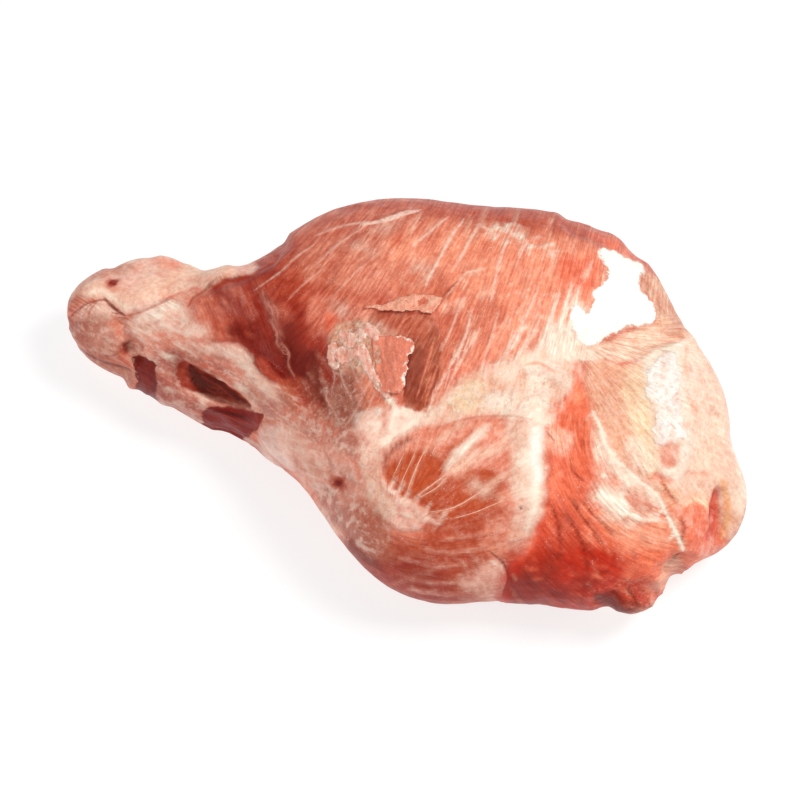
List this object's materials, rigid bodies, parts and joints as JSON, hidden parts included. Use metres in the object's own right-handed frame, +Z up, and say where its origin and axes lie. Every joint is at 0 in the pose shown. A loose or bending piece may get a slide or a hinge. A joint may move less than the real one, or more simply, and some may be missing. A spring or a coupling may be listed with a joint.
{
  "type": "bone-in pork leg",
  "caption": "Skinned and trimmed raw pork leg with its shank: narrow hock end, broad thigh, round knuckle and cut rump, lying flat on its inner side.",
  "frame": {"origin": "on the surface the leg lies on, under the middle of its bounding box", "axes": "+X along the leg from the hock to the cut rump, +Y to the back of the thigh, +Z up"},
  "size_m": [0.5082, 0.3012, 0.1572],
  "materials": {
    "raw_pork": "moist, satin"
  },
  "bodies": {
    "root": {"pork_leg": "raw_pork"}
  },
  "joints": []
}
